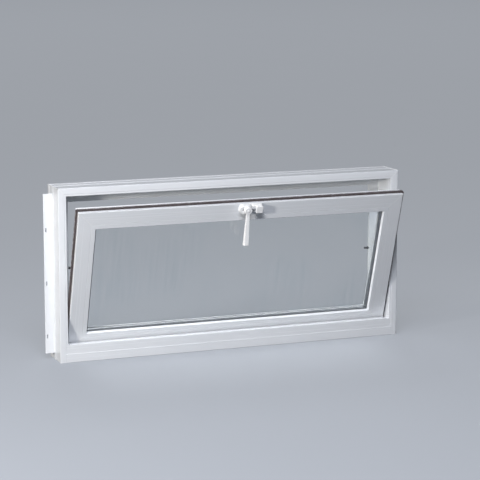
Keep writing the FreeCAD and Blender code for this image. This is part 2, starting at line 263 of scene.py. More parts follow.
TILT = Tilt.from_joint("sash_tilt")


@dataclass(frozen=True)
class Finish:
    """What all finishes share: a name and the making of one material from it.

    Attributes:
        name: Common name of the material and how its surface was made.
    """

    name: str

    def shade(self, tree: NodeTree) -> NodeSocket:
        """Adds the finish's nodes to a tree and returns the shader's output."""
        raise NotImplementedError

    def material(self) -> Material:
        """Finds the material of this finish, or makes it on its first use.

        Returns:
            The material with its node tree.
        """
        found = bpy.data.materials.get(self.name)
        if found is not None:
            return found
        made = bpy.data.materials.new(self.name)
        made.use_nodes = True
        made.node_tree.nodes.clear()
        surface = self.shade(made.node_tree)
        add_node(made.node_tree, "ShaderNodeOutputMaterial", inputs={"Surface": surface})
        return made


@dataclass(frozen=True)
class Surface(Finish):
    """Opaque finish whose colour, shine and relief follow a noise.

    Attributes:
        pale: Lighter tone.
        shaded: Darker tone.
        grain_mm: Size of the patches of one tone.
        octaves: Layers of ever finer patches.
        gloss: Lowest and highest roughness, or one number twice where it is even.
        levels: Noise values between which the roughness changes.
        relief_mm: Height of the relief, or 0 for none.
        relief: Share of that height that shows.
        metallic: Share of bare metal.
        sheen: Weight of the fibre sheen.
        scatter: Weight of light scattered below the surface.
        scatter_mm: How far that light goes.
        ior: Refractive index, here the shader's default, which metals keep.
    """

    pale: str = "#F4F4F2"
    shaded: str = "#ECECEA"
    grain_mm: float = 1.1
    octaves: float = 3.0
    gloss: Pair = (0.3, 0.38)
    levels: Pair = (0.0, 1.0)
    relief_mm: float = 0.0
    relief: float = 0.6
    metallic: float = 0.0
    sheen: float = 0.0
    scatter: float = 0.0
    scatter_mm: float = 2.0
    ior: float = 1.5

    def shade(self, tree: NodeTree) -> NodeSocket:
        """Adds the colour, the shine and the relief.

        Args:
            tree: Node tree that gets the nodes.

        Returns:
            The shader's output.
        """
        place = add_node(tree, "ShaderNodeTexCoord").outputs["Object"]
        patches = add_node(tree, "ShaderNodeTexNoise", inputs={
            "Vector": place, "Scale": 1 / (self.grain_mm * MM), "Detail": self.octaves}).outputs["Fac"]
        tone = add_node(tree, "ShaderNodeMix", {"data_type": "RGBA"}, {
            MIX_SHARE: patches, MIX_LOW: linear(self.shaded), MIX_HIGH: linear(self.pale)})
        grain = self.grain(tree, place, patches)
        low, high = self.gloss
        inputs = {
            "Base Color": tone.outputs[MIX_OUT], "Roughness": low, "IOR": self.ior,
            "Metallic": self.metallic, "Sheen Weight": self.sheen, "Subsurface Weight": self.scatter,
            "Subsurface Scale": self.scatter_mm * MM, **self.light(tree)}
        if high > low:
            rough = add_node(tree, "ShaderNodeMapRange", inputs={
                "Value": grain, "From Min": self.levels[0], "From Max": self.levels[1],
                "To Min": low, "To Max": high})
            inputs["Roughness"] = rough.outputs["Result"]
        if self.relief_mm:
            relief = add_node(tree, "ShaderNodeBump", inputs={
                "Strength": self.relief, "Distance": self.relief_mm * MM, "Height": grain})
            inputs["Normal"] = relief.outputs["Normal"]
        return add_node(tree, "ShaderNodeBsdfPrincipled", inputs=inputs).outputs["BSDF"]

    def grain(self, tree: NodeTree, place: NodeSocket, patches: NodeSocket) -> NodeSocket:
        """Noise that shine and relief follow: that of the colour, where a finish adds no other."""
        return patches

    def light(self, tree: NodeTree) -> dict:
        """Inputs of the shader for light of its own, which most finishes don't have."""
        return {}


# White unplasticised PVC, extruded: an even, slightly glossy white with faint lines drawn by the die
@dataclass(frozen=True)
class ExtrudedVinyl(Surface):
    """Extruded window vinyl.

    Attributes:
        run: Direction of the die lines.
        line_mm: Spacing of the die lines, about three times the real one so that it shows.
        line_run_mm: Length over which a die line changes.
        line_octaves: Layers of ever finer lines.
        line_fade: Strength of each finer layer against the one before.
    """

    pale: str = "#E7E9EC"
    shaded: str = "#E1E4E8"
    grain_mm: float = 90.0
    gloss: Pair = (0.25, 0.28)
    levels: Pair = (0.3, 0.7)
    relief_mm: float = 0.003
    relief: float = 0.5
    ior: float = 1.53
    run: Run = Run.ACROSS
    line_mm: float = 2.4
    line_run_mm: float = 800.0
    line_octaves: float = 2.0
    line_fade: float = 0.55

    def grain(self, tree: NodeTree, place: NodeSocket, patches: NodeSocket) -> NodeSocket:
        """Adds the die lines, which shine and relief follow.

        Args:
            tree: Node tree that gets the nodes.
            place: Object coordinates.
            patches: Noise of the colour, which plays no part in the lines.

        Returns:
            The noise of the lines.
        """
        across, along = self.line_mm * MM, self.line_run_mm * MM
        stretch = (along, across, across) if self.run is Run.ACROSS else (across, across, along)
        turn = (TILT.angle, 0, 0) if self.run is Run.TILTED else (0, 0, 0)
        drawn = add_node(tree, "ShaderNodeMapping", {"vector_type": "TEXTURE"},
                         {"Vector": place, "Rotation": turn, "Scale": stretch})
        lines = add_node(tree, "ShaderNodeTexNoise", inputs={
            "Vector": drawn.outputs["Vector"], "Scale": 1.0, "Detail": self.line_octaves,
            "Roughness": self.line_fade})
        return lines.outputs["Fac"]


# Clear soda-lime float glass: no colour of its own but a trace of green, with faint upright streaks of a
# slightly darker tint in patches
@dataclass(frozen=True)
class FloatGlass(Finish):
    """Clear float glass.

    Attributes:
        clear: Tone of the pane between the streaks.
        streaked: Slightly darker tone in the faint upright streaks.
        mark_mm: Width of a streak.
        mark_run_mm: Length of a streak.
        mark_octaves: Layers of ever finer marks.
        mark_fade: Strength of each finer layer against the one before.
        mark_levels: Noise values where a mark begins and where it is full.
        patch_mm: Size of the patches that hold the streaks.
        patch_octaves: Layers of ever finer patches.
        patch_levels: Noise values where a patch begins and where it is full.
        ior: Refractive index.
    """

    clear: str = "#FCFDFD"
    # Slightly darker tint of the faint upright streaks
    streaked: str = "#F6F9FA"
    mark_mm: float = 9.0
    mark_run_mm: float = 130.0
    mark_octaves: float = 4.0
    mark_fade: float = 0.6
    mark_levels: Pair = (0.42, 0.72)
    patch_mm: float = 170.0
    patch_octaves: float = 1.0
    patch_levels: Pair = (0.42, 0.6)
    ior: float = 1.52

    def shade(self, tree: NodeTree) -> NodeSocket:
        """Adds clear glass with marks in patches, which casts no shadow.

        Args:
            tree: Node tree that gets the nodes.

        Returns:
            The shader's output.
        """
        place = add_node(tree, "ShaderNodeTexCoord").outputs["Object"]
        across, along = self.mark_mm * MM, self.mark_run_mm * MM
        drawn = add_node(tree, "ShaderNodeMapping", {"vector_type": "TEXTURE"}, {
            "Vector": place, "Rotation": (TILT.angle, 0, 0), "Scale": (across, across, along)})
        marks = add_node(tree, "ShaderNodeTexNoise", inputs={
            "Vector": drawn.outputs["Vector"], "Scale": 1.0, "Detail": self.mark_octaves,
            "Roughness": self.mark_fade})
        streaks = add_node(tree, "ShaderNodeMapRange", inputs={
            "Value": marks.outputs["Fac"], "From Min": self.mark_levels[0], "From Max": self.mark_levels[1]})
        patches = add_node(tree, "ShaderNodeTexNoise", inputs={
            "Vector": place, "Scale": 1 / (self.patch_mm * MM), "Detail": self.patch_octaves})
        left = add_node(tree, "ShaderNodeMapRange", inputs={
            "Value": patches.outputs["Fac"], "From Min": self.patch_levels[0],
            "From Max": self.patch_levels[1]})
        share = add_node(tree, "ShaderNodeMath", {"operation": "MULTIPLY"}, {
            0: streaks.outputs["Result"], 1: left.outputs["Result"]})
        tone = add_node(tree, "ShaderNodeMix", {"data_type": "RGBA"}, {
            MIX_SHARE: share.outputs["Value"], MIX_LOW: linear(self.clear), MIX_HIGH: linear(self.streaked)})
        glass = add_node(tree, "ShaderNodeBsdfPrincipled", inputs={
            "Base Color": tone.outputs[MIX_OUT], "Roughness": 0.0, "IOR": self.ior,
            "Transmission Weight": 1.0})
        open_way = add_node(tree, "ShaderNodeBsdfTransparent", inputs={"Color": linear(self.clear)})
        path = add_node(tree, "ShaderNodeLightPath")
        both = add_node(tree, "ShaderNodeMixShader", inputs={
            0: path.outputs["Is Shadow Ray"], 1: glass.outputs["BSDF"], 2: open_way.outputs["BSDF"]})
        return both.outputs["Shader"]


# Bare metal: rolled aluminium or zinc-plated steel, with a satin shine that varies from place to place
@dataclass(frozen=True)
class BareMetal(Surface):
    """Metal with no paint."""

    pale: str = "#D2D4D6"
    shaded: str = "#B4B8BC"
    grain_mm: float = 1.6
    gloss: Pair = (0.28, 0.42)
    metallic: float = 1.0


# Moulded, cast and coated surfaces: an even colour with a fine grain that breaks up the shine
@dataclass(frozen=True)
class GrainedCoat(Surface):
    """Moulded or coated surface with a fine raised grain."""

    octaves: float = 2.0
    relief_mm: float = 0.015


@dataclass(frozen=True)
class Palette:
    """Finishes of the window, each named for what it is."""

    vinyl_across: Finish = ExtrudedVinyl("white_upvc_extruded_across", run=Run.ACROSS)
    vinyl_upright: Finish = ExtrudedVinyl("white_upvc_extruded_upright", run=Run.UPRIGHT)
    vinyl_tilted: Finish = ExtrudedVinyl("white_upvc_extruded_tilted", run=Run.TILTED)
    # Melted and trimmed at the corner, so it is a little duller than the bar
    weld: Finish = GrainedCoat("white_upvc_welded", pale="#EDEEEF", shaded="#E2E4E6", grain_mm=2.0,
                               gloss=(0.35, 0.5))
    glass: Finish = FloatGlass("clear_float_glass")
    spacer: Finish = BareMetal("aluminium_roll_formed", pale="#A6A9AD", shaded="#8F9398")
    # Soft black sealant pressed flat between metal and glass, painted dull grey: painted light that lifts its
    # black to how it looks lit behind the pane
    butyl: Finish = GrainedCoat("butyl_sealant_pressed", pale="#75777B", shaded="#626468",
                                grain_mm=4.0, gloss=(0.5, 0.7))
    # Flexible PVC lip: dark grey, softer and duller than the bars
    gasket: Finish = GrainedCoat("flexible_pvc_extruded", pale="#66696E", shaded="#54575C",
                                 grain_mm=3.0, gloss=(0.45, 0.6))
    # Dyed polypropylene strands on a woven backing: dark, matt, a little paler at a glancing angle
    pile: Finish = GrainedCoat("polypropylene_pile_woven", pale="#6A5E5F", shaded="#332A2B",
                               grain_mm=1.5, relief_mm=0.1, gloss=(0.8, 0.95), sheen=0.35)
    # Bright zinc on steel: a cool, slightly blue grey with sharper highlights than the aluminium
    zinc: Finish = BareMetal("steel_zinc_plated", pale="#C9CDD2", shaded="#A3A9B2", gloss=(0.25, 0.45))
    # Undyed polyamide: waxy off-white with light inside it
    nylon: Finish = GrainedCoat("nylon_moulded", pale="#EFECE2", shaded="#E4E0D4", grain_mm=2.5,
                                gloss=(0.38, 0.5), scatter=0.1)
    # Acetal dyed through: near black with a dull moulded shine
    black: Finish = GrainedCoat("black_acetal_moulded", pale="#1B1B1D", shaded="#111113", grain_mm=0.8,
                                gloss=(0.35, 0.5))
    # Die-cast zinc under white powder coat: smooth with a fine orange peel
    latch: Finish = GrainedCoat("zinc_powder_coated_white", pale="#FBFBFB", shaded="#F5F5F5")


def facing(point: Vector, normal: Vector) -> Matrix:
    """Placement of a piece at a point with its own Z along a normal."""
    return Matrix.Translation(point) @ normal.to_track_quat("Z", "Y").to_matrix().to_4x4()


def turn_profile(profile: list[Pair], places: list[Matrix], steps: int = 24) -> BMesh:
    """Turns a profile round Z and sets copies of it in place.

    Args:
        profile: Radius and height of each point, from one end to the other.
        places: Where the copies go.
        steps: Number of flats round the piece.

    Returns:
        A new bmesh with the turned pieces.
    """
    bm = bmesh.new()
    points = [bm.verts.new((radius, 0, height)) for radius, height in profile]
    edges = [bm.edges.new(pair) for pair in zip(points, points[1:])]
    bmesh.ops.spin(bm, geom=points + edges, cent=(0, 0, 0), axis=UP, angle=math.tau, steps=steps,
                   use_merge=True)
    bmesh.ops.remove_doubles(bm, verts=bm.verts[:], dist=SAME_POINT)
    bmesh.ops.recalc_face_normals(bm, faces=bm.faces[:])
    return spread_copies(bm, places)


def spread_copies(bm: BMesh, places: list[Matrix]) -> BMesh:
    """Replaces what a bmesh holds by placed copies of it.

    Args:
        bm: Shape at the origin.
        places: Where the copies go.

    Returns:
        The same bmesh.
    """
    master = bm.verts[:] + bm.edges[:] + bm.faces[:]
    for place in places:
        copy = bmesh.ops.duplicate(bm, geom=master)["geom"]
        bmesh.ops.transform(bm, matrix=place, verts=[g for g in copy if isinstance(g, BMVert)])
    bmesh.ops.delete(bm, geom=[g for g in master if isinstance(g, BMVert)], context="VERTS")
    return bm


@dataclass(frozen=True)
class PanScrew:
    """Head of a cross-recess screw, drawn from its seat up.

    Attributes:
        radius: Radius of the head.
        height: Height of the head above its seat.
        recess: Reach of the cross recess from the middle.
        depth: Depth of the recess.
        sunk: How far the head's wall goes on below the seat.
        flats: Number of flats round the head.
        arms: Number of arms of the recess.
        web: Reach of the recess between its arms, as a share of an arm's.
        taper: Size of the recess's floor as a share of its mouth.
        dome: Radius and height of the rings round the recess, as shares of the head's.
    """

    radius: float = 2.6 * MM
    height: float = 1.3 * MM
    recess: float = 1.5 * MM
    depth: float = 0.8 * MM
    sunk: float = 0.3 * MM
    flats: int = 16
    arms: int = 4
    web: float = 0.36
    taper: float = 0.6
    dome: tuple[Pair, ...] = ((0.72, 0.97), (0.92, 0.8), (1.0, 0.5))

    def build(self, places: list[Matrix]) -> BMesh:
        """Makes one head at each place.

        Args:
            places: Seats of the heads, with Z out of the surface.

        Returns:
            A new bmesh with the heads.
        """
        bm = bmesh.new()
        bmesh.ops.create_circle(bm, cap_ends=True, segments=self.flats, radius=self.recess,
                                matrix=Matrix.Translation((0, 0, self.height)))
        mouth = bm.faces[:][0]
        for number, vert in enumerate(mouth.verts):
            if number % (self.flats // self.arms):
                vert.co.xy *= self.web
        bottom = bmesh.ops.extrude_discrete_faces(bm, faces=[mouth])["faces"]
        sink = Matrix.Translation((0, 0, -self.depth)) @ Matrix.Diagonal((self.taper, self.taper, 1, 1))
        bmesh.ops.transform(bm, matrix=sink, verts=bottom[0].verts[:])
        rim = [e for e in bm.edges if e.is_boundary]
        for share, level in (*self.dome, (1.0, -self.sunk / self.height)):
            out = bmesh.ops.extrude_edge_only(bm, edges=rim)["geom"]
            for vert in (g for g in out if isinstance(g, BMVert)):
                vert.co.xy = vert.co.xy.normalized() * self.radius * share
                vert.co.z = self.height * level
            rim = [g for g in out if isinstance(g, BMEdge)]
        bmesh.ops.contextual_create(bm, geom=rim)
        bmesh.ops.recalc_face_normals(bm, faces=bm.faces[:])
        return spread_copies(bm, places)


@dataclass(frozen=True)
class RectRing:
    """Rectangular band round the glass, drawn on the closed sash.

    Attributes:
        outer: Box whose X and Z give the band's outer edge and whose Y its two faces.
        width: Width of the band inward from the outer edge.
        edge: Size of its rounded edges.
        seam: Half width of the bar left beside a groove along the inner wall, or 0 for no groove.
        edge_steps: Number of flats round an edge.
        square: Least share of a flat wall's normal that is along one axis.
    """

    outer: Span
    width: float
    edge: float
    seam: float = 0.0
    edge_steps: int = 2
    square: float = 0.99

    def build(self) -> BMesh:
        """Makes the band by inset, extrude and bevel.

        Returns:
            A new bmesh with the closed band.
        """
        bm = bmesh.new()
        size = self.outer.high - self.outer.low
        front = Matrix.Translation((self.outer.mid.x, self.outer.low.y, self.outer.mid.z))
        flat = Matrix.Rotation(math.pi / 2, 4, "X") @ Matrix.Diagonal((size.x, size.z, 1, 1))
        bmesh.ops.create_grid(bm, x_segments=1, y_segments=1, size=0.5, matrix=front @ flat)
        middle = bm.faces[:]
        bmesh.ops.inset_region(bm, faces=middle, thickness=self.width, use_even_offset=True,
                               use_boundary=True)
        bmesh.ops.delete(bm, geom=middle, context="FACES_ONLY")
        moved = bmesh.ops.extrude_face_region(bm, geom=bm.faces[:])["geom"]
        verts = [g for g in moved if isinstance(g, BMVert)]
        bmesh.ops.translate(bm, vec=(0, size.y, 0), verts=verts)
        bmesh.ops.recalc_face_normals(bm, faces=bm.faces[:])
        bmesh.ops.bevel(bm, geom=bm.edges[:], offset=self.edge, offset_type="OFFSET",
                        segments=self.edge_steps, profile=0.5, affect="EDGES", material=-1,
                        clamp_overlap=True)
        if self.seam:
            self.cut_seam(bm)
        return bm

    def cut_seam(self, bm: BMesh) -> None:
        """Sinks a groove along the middle of the four inner walls.

        Args:
            bm: The band that gets the groove.
        """
        walls = [f for f in bm.faces if self.is_inner_wall(f)]
        bmesh.ops.inset_individual(bm, faces=walls, thickness=self.seam, use_even_offset=True)
        for wall in walls:
            normal = wall.normal.copy()
            sunk = bmesh.ops.extrude_discrete_faces(bm, faces=[wall])["faces"]
            bmesh.ops.translate(bm, vec=normal * -self.edge, verts=sunk[0].verts[:])

    def is_inner_wall(self, face: BMFace) -> bool:
        """True for one of the four flat walls that look at the middle of the ring."""
        square = max(abs(face.normal.x), abs(face.normal.z)) > self.square
        return square and face.normal.dot(self.outer.mid - face.calc_center_median()) > 0


@dataclass(frozen=True)
class PileStrip:
    """Brush of strands along one edge of the closed sash.

    Attributes:
        start: One end of the edge, at the middle of the brush.
        end: Other end of the edge.
        out: Direction in which the strands stand.
        height: Reach of the longest strands from the edge.
        width: Width of the brush along Y.
        fan_out: Direction of the next brush where the strands fan round the corner at the end.
        pitch: Spacing of the strands along the edge.
        stretch: Length that is modelled once and then repeated.
        rows: Number of rows across the width.
        strand: Radius of a strand's foot.
        tip: Radius of its tip as a share of the foot's.
        flats: Number of flats round a strand.
        lengths: Shortest and longest strand as shares of the height.
        stray: Lowest and highest place of a column of strands within its pitch.
        fan_columns: Columns in the corner's fan for each pitch of the height.
        dense: Share of the height and width that the matted core fills.
        spread: Share of the width that the strands' feet take up.
        lean: Largest lean of a strand along the edge.
        flare: Lean of the outer rows away from the middle.
        seed: Start of the random draws.
    """

    start: Vector
    end: Vector
    out: Vector
    height: float
    width: float
    fan_out: Vector | None = None
    pitch: float = 1.25 * MM
    stretch: float = 26.0 * MM
    rows: int = 5
    strand: float = 0.55 * MM
    tip: float = 0.5
    flats: int = 4
    lengths: Pair = (0.9, 1.0)
    stray: Pair = (0.2, 0.8)
    fan_columns: int = 2
    dense: float = 0.62
    spread: float = 0.86
    lean: float = 0.12
    flare: float = 0.9
    seed: int = 7

    def build(self) -> BMesh:
        """Makes one stretch, repeats it along the edge and fans out the corner.

        Returns:
            A new bmesh with the whole brush.
        """
        draw = random.Random(self.seed)
        stretches = max(1, round((self.end - self.start).length / self.stretch))
        step = (self.end - self.start) / stretches
        columns = round(step.length / self.pitch)
        bm = bmesh.new()
        self.core(bm, step)
        for number in range(columns):
            foot = self.start + step * ((number + draw.uniform(*self.stray)) / columns)
            self.column(bm, foot, self.out, step.normalized(), draw)
        spread_copies(bm, [Matrix.Translation(step * number) for number in range(stretches)])
        if self.fan_out is not None:
            turns = round(self.height / self.pitch) * self.fan_columns
            for number in range(turns):
                way = self.out.lerp(self.fan_out, (number + 0.5) / turns).normalized()
                self.column(bm, self.end.copy(), way, way.cross(TO_OUTSIDE), draw)
        return bm

    def core(self, bm: BMesh, step: Vector) -> None:
        """Adds the matted middle of one stretch.

        Args:
            bm: Brush that gets the core.
            step: Way from one end of the stretch to the other.
        """
        rise = self.height * self.dense
        middle = Matrix.Translation(self.start + step / 2 + self.out * rise / 2)
        size = Vector(abs(step[i]) + abs(self.out[i]) * rise for i in range(3))
        size.y = self.width * self.dense
        bmesh.ops.create_cube(bm, size=1.0, matrix=middle @ Matrix.Diagonal((*size, 1)))

    def column(self, bm: BMesh, foot: Vector, way: Vector, sideways: Vector, draw: random.Random) -> None:
        """Adds one tapered strand in each row.

        Args:
            bm: Brush that gets the strands.
            foot: Point on the sash edge at the middle of the brush.
            way: Direction in which the strands stand.
            sideways: Direction in which they may lean.
            draw: Source of the random draws.
        """
        for row in range(self.rows):
            side = (row + 0.5) / self.rows - 0.5
            lean = sideways * draw.uniform(-self.lean, self.lean) + TO_OUTSIDE * side * self.flare
            root = foot + TO_OUTSIDE * self.width * side * self.spread
            length = self.height * draw.uniform(*self.lengths)
            aim = (way + lean).normalized()
            bmesh.ops.create_cone(bm, cap_ends=True, segments=self.flats, radius1=self.strand,
                                  radius2=self.strand * self.tip, depth=length,
                                  matrix=facing(root + aim * length / 2, aim))


@dataclass(frozen=True)
class WeldBead:
    """Low rounded bead where two mitred bars are welded.

    Attributes:
        width: Width of the bead.
        height: How far it stands out.
        inset: Distance of its end from a rounded edge.
        flats: Number of flats round it.
    """

    width: float = 1.4 * MM
    height: float = 0.22 * MM
    inset: float = 1.6 * MM
    flats: int = 12

    def lay(self, bm: BMesh, start: Vector, end: Vector, normal: Vector) -> None:
        """Adds a bead between two points of a flat face.

        Args:
            bm: Shape that gets the bead.
            start: One end on the face.
            end: Other end on the face.
            normal: Direction out of the face.
        """
        along = end - start
        across = along.cross(normal).normalized()
        basis = Matrix((across, normal, along.normalized())).transposed().to_4x4()
        size = Matrix.Diagonal((self.width, 2 * self.height, along.length, 1))
        bmesh.ops.create_cone(bm, cap_ends=True, segments=self.flats, radius1=0.5, radius2=0.5, depth=1.0,
                              matrix=Matrix.Translation((start + end) / 2) @ basis @ size)


@dataclass
class SubAssembly:
    """What the sub-assemblies share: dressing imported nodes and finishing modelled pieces.

    Attributes:
        palette: Finishes to dress with.
        weld: Bead on the faces where two bars meet.
        crease_deg: Angle above which a modelled edge stays sharp.
        made: Names of what was dressed or modelled, in order.
    """

    palette: Palette
    weld: WeldBead = WeldBead()
    crease_deg: float = 35.0
    made: list[str] = field(default_factory=list)

    def dress(self, finish: Finish, *nodes: str) -> None:
        """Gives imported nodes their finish.

        Args:
            finish: The finish.
            nodes: Names of the nodes.
        """
        for node in nodes:
            mesh = frame["nodes"][node].data
            mesh.materials.clear()
            mesh.materials.append(finish.material())
            self.made.append(node)

    def piece(self, bm: BMesh, name: str, body: Body, slot: Slot, finish: Finish,
              stands_for: tuple[str, ...] = ()) -> None:
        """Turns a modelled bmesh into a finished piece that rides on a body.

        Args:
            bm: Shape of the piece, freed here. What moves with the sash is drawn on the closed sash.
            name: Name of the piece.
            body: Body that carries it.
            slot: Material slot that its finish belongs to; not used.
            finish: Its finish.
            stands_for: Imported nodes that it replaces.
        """
        mesh = bpy.data.meshes.new(name)
        if body is not Body.FRAME:
            bmesh.ops.transform(bm, matrix=TILT.matrix, verts=bm.verts[:])
        for face in bm.faces:
            face.smooth = True
        bm.to_mesh(mesh)
        bm.free()
        mesh.set_sharp_from_angle(angle=math.radians(self.crease_deg))
        mesh.materials.append(finish.material())
        obj = show(name, mesh)
        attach(obj, body.value)
        if stands_for:
            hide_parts(*stands_for)
        self.made.append(name)


@dataclass
class FrameAssembly(SubAssembly):
    """Head, sill, jambs, fins and what is fixed to them.

    Attributes:
        arris: Bead along the outer arris where a jamb meets the head.
        arris_in: Depth of its middle inside the arris.
        band: Distance of the recessed inner band from the outer side.
        band_step: Depth of that band below the room face.
        face_w: Width of the room face, band and all.
        rear_w: Width of the outer face up to the screen rebate.
        block_screw: Screw that holds a pivot block.
        screw_rise: Height of a block's screws from its pivot.
        pin_reach: Length of a screen pin that stands out of the frame.
        pin_collar: Radius and length of its collar.
        pin_neck: Radius of the pin past its collar.
        pin_round: Rounding of the collar.
        pin_tip: Rounding of its tip: radius in necks and distance from the end in roundings.
    """

    arris: WeldBead = WeldBead(width=1.4 * MM, height=0.7 * MM)
    arris_in: float = 0.35 * MM
    band: float = 13.3 * MM
    band_step: float = 0.6 * MM
    face_w: float = 18.5 * MM
    rear_w: float = 34.0 * MM
    block_screw: PanScrew = PanScrew(radius=2.2 * MM)
    screw_rise: float = 8.3 * MM
    pin_reach: float = 11.0 * MM
    pin_collar: Pair = (3.2 * MM, 2.6 * MM)
    pin_neck: float = 2.4 * MM
    pin_round: float = 0.5 * MM
    pin_tip: tuple[Pair, ...] = ((1.0, 2.0), (0.8, 0.6), (0.4, 0.0))

    def build(self) -> list[str]:
        """Dresses the frame's nodes and models its small fittings.

        Returns:
            Names of the pieces.
        """
        look = self.palette
        self.dress(look.vinyl_across, "head", "sill")
        self.dress(look.vinyl_upright, "left_jamb", "right_jamb", "left_fin", "right_fin")
        self.dress(look.nylon, "left_pivot_block", "right_pivot_block")
        self.dress(look.zinc, "latch_keeper")
        self.welds()
        for side in Side:
            self.block_screws(side)
            self.screen_pin(side)
        return self.made

    def welds(self) -> None:
        """Models the trimmed welds where the jambs meet the head."""
        head = Span.of("head")
        bead = self.weld
        steps = (
            (bead.inset, self.band - bead.height, head.low.y, TO_ROOM),
            (self.band + bead.height, self.face_w - bead.inset, head.low.y + self.band_step, TO_ROOM),
            (bead.inset, self.rear_w - bead.inset, head.high.y, TO_OUTSIDE),
        )
        for side in Side:
            bm = bmesh.new()
            corner = Vector((side.value * head.high.x, 0, head.high.z))
            inward = Vector((-side.value, 0, -1))
            for near, far, depth, normal in steps:
                on_face = corner + TO_OUTSIDE * depth
                bead.lay(bm, on_face + inward * near, on_face + inward * far, normal)
            sunk = corner + inward * self.arris_in
            near_end = sunk + TO_OUTSIDE * (head.low.y + bead.inset)
            far_end = sunk + TO_OUTSIDE * (head.high.y - bead.inset)
            self.arris.lay(bm, near_end, far_end, -inward.normalized())
            self.piece(bm, f"{side.label}_corner_weld", Body.FRAME, Slot.VINYL, self.palette.weld)

    def block_screws(self, side: Side) -> None:
        """Models the two screws that hold a pivot block.

        Args:
            side: Side of the block.
        """
        block = Span.of(f"{side.label}_pivot_block")
        inner_x = block.low.x if side is Side.RIGHT else block.high.x
        middle = Vector((inner_x, block.mid.y, block.mid.z))
        normal = Vector((-side.value, 0, 0))
        seats = [facing(middle + UP * rise, normal) for rise in (-self.screw_rise, self.screw_rise)]
        heads = self.block_screw.build(seats)
        self.piece(heads, f"{side.label}_block_screws", Body.FRAME, Slot.STEEL, self.palette.zinc)

    def screen_pin(self, side: Side) -> None:
        """Models the stepped pin that holds an insect screen.

        Args:
            side: Side of the pin.
        """
        node = f"{side.label}_screen_pin"
        pin = Span.of(node)
        root_x = pin.high.x if side is Side.RIGHT else pin.low.x
        length = pin.high.x - pin.low.x
        seat = length - self.pin_reach
        collar_r, collar_l = self.pin_collar
        neck, rounding = self.pin_neck, self.pin_round
        profile = [
            (0.0, 0.0), (neck, 0.0), (neck, seat), (collar_r - rounding, seat),
            (collar_r, seat + rounding), (collar_r, seat + collar_l - rounding),
            (collar_r - rounding, seat + collar_l), (neck, seat + collar_l + rounding),
            *((neck * share, length - rounding * drop) for share, drop in self.pin_tip),
            (0.0, length),
        ]
        start = Vector((root_x, pin.mid.y, pin.mid.z))
        turned = turn_profile(profile, [facing(start, Vector((-side.value, 0, 0)))])
        self.piece(turned, f"{side.label}_screen_pin_turned", Body.FRAME, Slot.BLACK_PLASTIC,
                   self.palette.black, stands_for=(node,))


